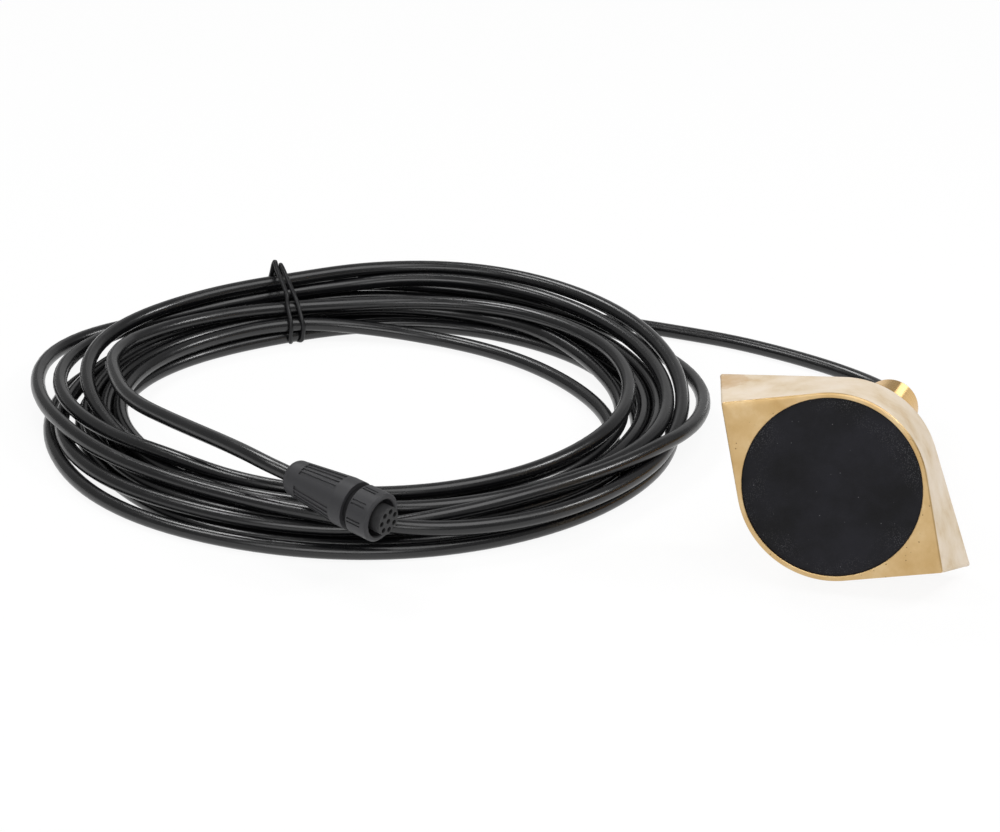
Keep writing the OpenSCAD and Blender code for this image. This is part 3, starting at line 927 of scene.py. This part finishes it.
    def section(self, route: Array, angle: float) -> Array:
        """Finds where the strands cross one angle.

        Args:
            route: The coil's points.
            angle: Angle about the coil's middle, in degrees.

        Returns:
            Radius and height of each strand there.
        """
        per = round(360 / self.step)
        first = round((angle - self.start) / self.step) % per
        points = route[first::per]
        return np.stack([np.hypot(*(points[:, :2] - self.middle).T), points[:, 2]], 1)


def settle_line(line: Array, times: int) -> Array:
    """Smooths a line of values, ends kept.

    Args:
        line: The values.
        times: Rounds of smoothing.

    Returns:
        The smoothed values.
    """
    for _ in range(times):
        line = np.concatenate([line[:1], (line[:-2] + 2 * line[1:-1] + line[2:]) / 4, line[-1:]])
    return line


@dataclass(frozen=True)
class Plug:
    """Where the plug lies.

    Attributes:
        rear: Middle of its rear.
        heading: Angle of its axis about the vertical, in degrees.
        pitch: Angle of its axis below the horizon, in degrees.
        grommet_end: Depth of the cable in the grip.
    """

    rear: Point = (-229.0, -102.0, 35.2)
    heading: float = -23.0
    pitch: float = 5.5
    grommet_end: float = 11.5

    @property
    def axis(self) -> Array:
        """Direction from the rear to the mouth."""
        h, p = math.radians(self.heading), math.radians(self.pitch)
        return np.array([math.cos(p) * math.cos(h), math.cos(p) * math.sin(h), -math.sin(p)])


@dataclass(frozen=True)
class Cable:
    """The whole cable: a lead along the floor, the coil and a tail to the plug.

    Attributes:
        housing: What the lead leaves.
        coil: The coiled stretch.
        plug: What the tail ends in.
        boot_end: Depth from the face where the strain relief ends.
        straight: Length that stays straight behind the strain relief.
        before: Distances from the plug at which the tail is in line with it.
        lead: Places of the lead on the floor.
        tail: Places of the tail, above the coil.
    """

    housing: Housing
    coil: Coil
    plug: Plug
    boot_end: float = 172.5
    straight: float = 8.0
    before: tuple[float, float] = (14.0, 3.0)
    lead: tuple[Point, ...] = (
        (-4, 111, 5.5), (-12, 121.5, 4), (-25, 131, 3.4), (-42, 139.5, 3.4), (-64, 148, 3.4),
        (-88, 155, 3.4), (-112, 159, 3.4), (-137, 162, 3.4), (-160, 163, 3.4), (-182, 162, 3.4),
        (-198, 159, 3.4),
    )
    tail: tuple[Point, ...] = (
        (-358, 28, 22.2), (-355, 12, 23.2), (-345.5, -7, 24.6), (-335, -23.5, 26.2), (-322, -38, 28.2),
        (-305, -52.7, 31), (-286.3, -67, 33.7), (-268.7, -79.5, 35.8), (-254.2, -89.4, 36.9),
    )

    @property
    def exit(self) -> Array:
        """Where the cable leaves the strain relief."""
        return self.housing.face_at + self.boot_end * np.array(self.housing.axis)

    def path(self, turns: Array) -> Array:
        """Joins lead, coil and tail.

        Args:
            turns: Points of the coil.

        Returns:
            Points of the whole cable, from the strain relief into the plug.
        """
        out = np.array(self.housing.axis)
        rear, along = np.array(self.plug.rear), self.plug.axis
        lead = np.vstack([self.exit, self.exit + self.straight * out, self.lead])
        inside = rear + self.plug.grommet_end * along
        tail = np.vstack([self.tail, *(rear - run * along for run in self.before), inside])
        return np.vstack([through(np.vstack([lead, turns[:1]]), 4)[:-1], through(turns, 2),
                          through(np.vstack([turns[-1:], tail]), 4)[1:]])


@dataclass(frozen=True)
class Tie:
    """The coated wire that holds the coil: two loops, slack on top, and twisted ends behind them.

    Attributes:
        angle: Angle about the coil's middle, in degrees.
        wire: Diameter of the wire.
        spread: Distance between the loops where they are widest apart.
        slack: Height of the slack arch over the strands.
        slack_at: Direction of the slack in the coil's section, in degrees from outwards to up.
        slack_width: Half the arc that is slack, in degrees.
        step: Angle between two points of a loop.
        twist_at: Direction in the section where the twisted ends begin.
        twist_over: Arc that they cover.
        twists: Turns of the twist.
    """

    angle: float = 127.0
    wire: float = 2.2
    spread: float = 6.5
    slack: float = 5.5
    slack_at: float = 88.0
    slack_width: float = 55.0
    step: float = 6.0
    twist_at: float = 60.0
    twist_over: float = 75.0
    twists: int = 2

    def around(self, cut: Array, way: Array, gap: float) -> Array:
        """Finds where a wire lies around the strands.

        Args:
            cut: Radius and height of each strand.
            way: Directions in the section, in degrees.
            gap: Distance from the strands' middles.

        Returns:
            Radius and height for each direction, on or above the floor.
        """
        turn = np.radians(way)
        rays = np.stack([np.cos(turn), np.sin(turn)], 1)
        spots = cut[np.argmax(cut @ rays.T, axis=0)] + gap * rays
        spots[:, 1] = np.maximum(spots[:, 1], self.wire / 2)
        return spots

    def loops(self, coil: Coil, turns: Array) -> list[Array]:
        """Draws each loop around the strands.

        Args:
            coil: The coil.
            turns: Its points.

        Returns:
            Closed paths in the frame.
        """
        cut = coil.section(turns, self.angle)
        way = np.arange(0.0, 360.0, self.step)
        spots = self.around(cut, way, (coil.strand + self.wire) / 2)
        off = np.clip(np.abs(way - self.slack_at) / self.slack_width, 0, 1)
        loops = []
        for side in (-1, 1):
            lift = (self.slack + side) * np.cos(off * math.pi / 2) ** 2
            loop = spots + np.stack([0.2 * lift, lift], 1)
            along = side * self.spread / 2 * (0.3 + 0.7 * np.abs(np.cos(np.radians(way))))
            loops.append(even_ring(self.at(coil, loop, along), 96))
        return loops

    def twist(self, coil: Coil, turns: Array) -> list[Array]:
        """Draws the two twisted ends, which lie down behind the loops.

        Args:
            coil: The coil.
            turns: Its points.

        Returns:
            Open paths in the frame.
        """
        cut = coil.section(turns, self.angle)
        share = np.linspace(0, 1, 40)
        spine = self.around(cut, self.twist_at - self.twist_over * share, coil.strand / 2 + 1.6 * self.wire)
        spine = np.stack([settle_line(spine[:, k], 12) for k in (0, 1)], 1)
        paths = []
        wide = 0.52 * self.wire
        for phase in (0, math.pi):
            turn = phase + 2 * math.pi * self.twists * share
            spots = spine + np.stack([wide * np.cos(turn), 0 * turn], 1)
            paths.append(self.at(coil, spots, wide * np.sin(turn)))
        return paths

    def at(self, coil: Coil, spots: Array, along: Array) -> Array:
        """Puts points of the section into the frame.

        Args:
            coil: The coil.
            spots: Radii and heights.
            along: Distances along the coil.

        Returns:
            Points in the frame.
        """
        turn = math.radians(self.angle)
        out, side = np.array([math.cos(turn), math.sin(turn)]), np.array([-math.sin(turn), math.cos(turn)])
        plan = np.array(coil.middle) + spots[:, :1] * out + along[:, None] * side
        return np.hstack([plan, spots[:, 1:]])


def even_ring(points: Array, count: int) -> Array:
    """Spaces the points of a closed line evenly and rounds its corners a little.

    Args:
        points: Corners of the line.
        count: Number of points wanted.

    Returns:
        The evenly spaced points.
    """
    ring = np.vstack([points, points[:1]])
    run = np.concatenate([[0.0], np.cumsum(np.linalg.norm(np.diff(ring, axis=0), axis=1))])
    places = np.linspace(0, run[-1], count, endpoint=False)
    line = np.stack([np.interp(places, run, ring[:, k]) for k in range(3)], 1)
    for _ in range(3):
        line = (np.roll(line, 1, 0) + 2 * line + np.roll(line, -1, 0)) / 4
    return line


@dataclass(frozen=True)
class Studio:
    """Floor, light and camera.

    Attributes:
        eye: Place of the camera, in millimetres.
        azimuth: Turn of the view about the vertical, in degrees.
        elevation: Angle of the view below the horizon, in degrees.
        lens: Focal length in millimetres.
        sensor: Width of the sensor in millimetres.
        floor_half: Half the floor's width in metres.
    """

    eye: Point = (210.7, -1376.1, 696.9)
    azimuth: float = 15.24
    elevation: float = 25.23
    lens: float = 126.0
    sensor: float = 36.0
    floor_half: float = 6.0

    def camera(self) -> None:
        """Adds the camera at the photograph's place and makes it the scene's."""
        data = bpy.data.cameras.new("camera")
        data.lens, data.sensor_width, data.sensor_fit = self.lens, self.sensor, "HORIZONTAL"
        data.clip_start, data.clip_end = 0.01, 50.0
        camera = show("camera", data)
        a, e = math.radians(self.azimuth), math.radians(self.elevation)
        ahead = Vector((-math.sin(a) * math.cos(e), math.cos(a) * math.cos(e), -math.sin(e)))
        right = Vector((math.cos(a), math.sin(a), 0.0))
        turn = Matrix((right, right.cross(ahead), -ahead)).transposed().to_4x4()
        camera.matrix_world = Matrix.Translation(Vector(self.eye) * MM) @ turn
        bpy.context.scene.camera = camera

    def floor(self) -> None:
        """Adds the white floor."""
        mesh = bpy.data.meshes.new("floor")
        s = self.floor_half
        mesh.from_pydata([(-s, -s, 0), (s, -s, 0), (s, s, 0), (-s, s, 0)], [], [(0, 1, 2, 3)])
        material = bpy.data.materials.new("white paper sweep")
        material.use_nodes = True
        nodes = Nodes(material.node_tree)
        paper = nodes.add("BsdfDiffuse", {"Color": (0.9, 0.9, 0.9, 1.0)})
        glow = nodes.add("Emission", {"Color": (1.0, 1.0, 1.0, 1.0), "Strength": 1.0})
        share = nodes.span(self.seen(nodes), 0.0, 1.0, 0.0, 0.9)
        mixed = nodes.add("MixShader", {0: share, 1: paper.outputs[0], 2: glow.outputs[0]})
        nodes.add("OutputMaterial", {"Surface": mixed.outputs[0]})
        mesh.materials.append(material)
        show("floor", mesh)

    @staticmethod
    def seen(nodes: Nodes) -> Socket:
        """Tells rays that show the surround from rays that light the object.

        Args:
            nodes: The tree that asks.

        Returns:
            1 for a ray of the camera or of a mirror or glass image, 0 for others.
        """
        path = nodes.add("LightPath").outputs
        total = path["Is Camera Ray"]
        for name in ("Is Glossy Ray", "Is Transmission Ray"):
            total = nodes.math("MAXIMUM", total, path[name])
        return total

    def light(self) -> None:
        """Adds a white surround and soft boxes."""
        world = bpy.data.worlds.new("studio")
        bpy.context.scene.world = world
        world.use_nodes = True
        nodes = Nodes(world.node_tree)
        back = nodes.add("Background", {"Color": (1.0, 1.0, 1.0, 1.0), "Strength": 0.3})
        nodes.add("OutputWorld", {"Surface": back.outputs[0]})
        self.box("top right", (250, -250, 1200), (-100, 0, 0), (0.9, 0.9), 6.0)
        self.box("top left", (-730, 510, 1070), (-180, 50, 0), (0.4, 0.3), 3.9)
        self.box("right", (780, 230, 930), (-100, -40, 20), (0.25, 0.25), 4.4)
        self.box("left", (-890, -420, 1050), (-250, -60, 20), (0.3, 0.3), 2.6)
        self.box("front", (-150, -1600, 800), (0, 0, 30), (1.4, 0.7), 9.0)
        self.box("back", (-300, 1600, 560), (-150, 0, 20), (1.6, 0.9), 1.4)
        self.box("low back", (88, 790, 34), (0, 90, 20), (0.11, 0.06), 0.065)

    def box(self, name: str, place: Point, aim: Point, size: tuple[float, float], watts: float) -> None:
        """Adds one soft box.

        Args:
            name: Its name.
            place: Where it hangs, in millimetres.
            aim: What it points at, in millimetres.
            size: Width and height in metres.
            watts: Its power.
        """
        data = bpy.data.lights.new(name, "AREA")
        data.shape, data.size, data.size_y, data.energy = "RECTANGLE", *size, watts
        lamp = show(name, data)
        turn = ((Vector(aim) - Vector(place)) * MM).to_track_quat("-Z", "Y").to_matrix().to_4x4()
        lamp.matrix_world = Matrix.Translation(Vector(place) * MM) @ turn
        lamp.visible_camera = False


@dataclass
class Transducer:
    """The whole object: its parts, its finishes, and how they stand for the CAD nodes."""

    housing: Housing = Housing()
    coil: Coil = Coil()
    plug: Plug = Plug()
    tie: Tie = Tie()

    def finishes(self) -> dict[str, Finish]:
        """Lists the finishes of the CAD nodes that stay in view.

        Returns:
            CAD node name to finish.
        """
        # urethane, poured into the recess and left as cast
        window = DustyUrethane("urethane, cast", "window", "#1c1c20", 0.72, gloss=0.2, grain=0.6,
                               grain_depth=0.03, edge=0.3, middle=tuple(self.housing.face_at),
                               radius=self.housing.window_r)
        # nylon, moulded in a spark-eroded mould that leaves a fine matt grain
        nylon = Finish("nylon, moulded", "plug", "#333335", 0.5, gloss=0.3, grain=0.25, grain_depth=0.012,
                       edge=0.25)
        # glass-filled nylon, moulded
        insert = Finish("filled nylon, moulded", "insert", "#2c2c2d", 0.55, gloss=0.3, grain=0.25,
                        grain_depth=0.01, edge=0.15)
        # synthetic rubber, moulded
        rubber = Finish("rubber, moulded", "boot", "#121214", 0.62, gloss=0.25, grain=0.3, grain_depth=0.01,
                        edge=0.2)
        # brass, gold-plated
        gold = Finish("brass, gold-plated", "contact", "#c9a24a", 0.3, metal=1.0)
        # spring steel, stamped
        steel = Finish("spring steel, stamped", "steel", "#a9acb0", 0.35, metal=1.0)
        # copper wire, drawn and tinned
        copper = Finish("copper, drawn", "copper", "#b87848", 0.35, metal=1.0)
        # lead zirconate ceramic, fired
        ceramic = Finish("ceramic, fired", "ceramic", "#d2ccbe", 0.6)
        # cork, pressed in sheets
        cork = Finish("cork, pressed", "cork", "#b08452", 0.85, grain=1.2, grain_depth=0.1)
        # epoxy, poured
        epoxy = Finish("epoxy, poured", "epoxy", "#262524", 0.3)
        return {
            "acoustic_window": window, "plug_grip": nylon, "coupling_ring": nylon, "plug_barrel": nylon,
            "contact_insert": insert, "strain_relief": rubber, "plug_seal": rubber, "cable_grommet": rubber,
            "contacts": gold, "ring_clip": steel, "signal_lead": copper, "return_lead": copper,
            "core_wires": copper, "piezo_disc": ceramic, "isolation_ring": cork, "backing_pad": cork,
            "potting": epoxy, "stem_seal": epoxy, "stem_cable": self.jacket(),
        }

    @staticmethod
    def jacket() -> Finish:
        """Gives the cable's finish: soft vinyl, extruded over the cores."""
        return DrawnJacket("soft vinyl, extruded", "jacket", "#0a0a0c", 0.25, gloss=0.62)

    def build(self, nodes: dict[str, Thing]) -> None:
        """Builds the looks around the CAD nodes.

        Args:
            nodes: CAD node name to object.
        """
        for name, finish in self.finishes().items():
            nodes[name].data.materials.clear()
            nodes[name].data.materials.append(finish_of(finish))
            LOG.info("%s: %s", name, finish.name)
        self.build_housing()
        turns = self.coil.route()
        wires = self.build_tie(turns)
        self.build_cable(turns)

    def build_housing(self) -> None:
        """Builds the housing's skin."""
        # bronze, sand-cast, with the face ground flat after the blasting
        ground = GroundBronze("bronze, ground", "bronze", "#cba65c", 0.42, metal=1.0, grain=0.5,
                              grain_depth=0.02, edge=0.4)
        # bronze, sand-cast and blasted
        cast = CastBronze("bronze, sand-cast", "bronze", "#dfceb6", 0.62, metal=0.3, grain=0.9,
                          grain_depth=0.12, edge=0.8, bare=(-53.0, -43.0, 75.2))
        # bronze, turned on a lathe
        turned = TurnedBronze("bronze, turned", "bronze", "#cda557", 0.16, metal=1.0,
                              axis=self.housing.axis)
        skin = self.housing.build(ground, cast, turned)
        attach(skin, Body.TRANSDUCER.value)
        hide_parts("housing")
        LOG.info("housing: %d faces", len(skin.data.polygons))

    def build_tie(self, turns: Array) -> list[Thing]:
        """Builds the wire tie.

        Args:
            turns: Points of the coil.

        Returns:
            The stretches of wire.
        """
        # steel wire, coated in black vinyl
        coat = Finish("vinyl, dipped", "tie", "#0e0e10", 0.4, gloss=0.35)
        paths = [(p, True) for p in self.tie.loops(self.coil, turns)]
        paths += [(p, False) for p in self.tie.twist(self.coil, turns)]
        wires = []
        for k, (path, closed) in enumerate(paths):
            wire = make_tube(f"tie_wire_{k}", path, self.tie.wire, coat, closed)
            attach(wire, Body.TRANSDUCER.value)
            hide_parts("coil_tie")
            wires.append(wire)
        LOG.info("tie: %d wires", len(wires))
        return wires

    def build_cable(self, turns: Array) -> None:
        """Args:
            turns: Points of the coil.
        """
        cable = Cable(self.housing, self.coil, self.plug)
        path = cable.path(turns)
        flex = make_tube("cable", path, self.coil.strand, self.jacket())
        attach(flex, Body.TRANSDUCER.value)
        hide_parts("cable_lead", "cable_coil", "cable_tail")


def main() -> None:
    """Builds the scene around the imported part."""
    logging.basicConfig(level=logging.INFO, format="%(name)s: %(message)s")
    bpy.ops.wm.read_factory_settings(use_empty=True)
    bpy.context.scene.view_settings.view_transform = "Standard"
    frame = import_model()
    Transducer().build(frame["nodes"])
    studio = Studio()
    studio.floor()
    studio.light()
    studio.camera()
    bpy.context.view_layer.update()


if __name__ == "__main__":
    main()
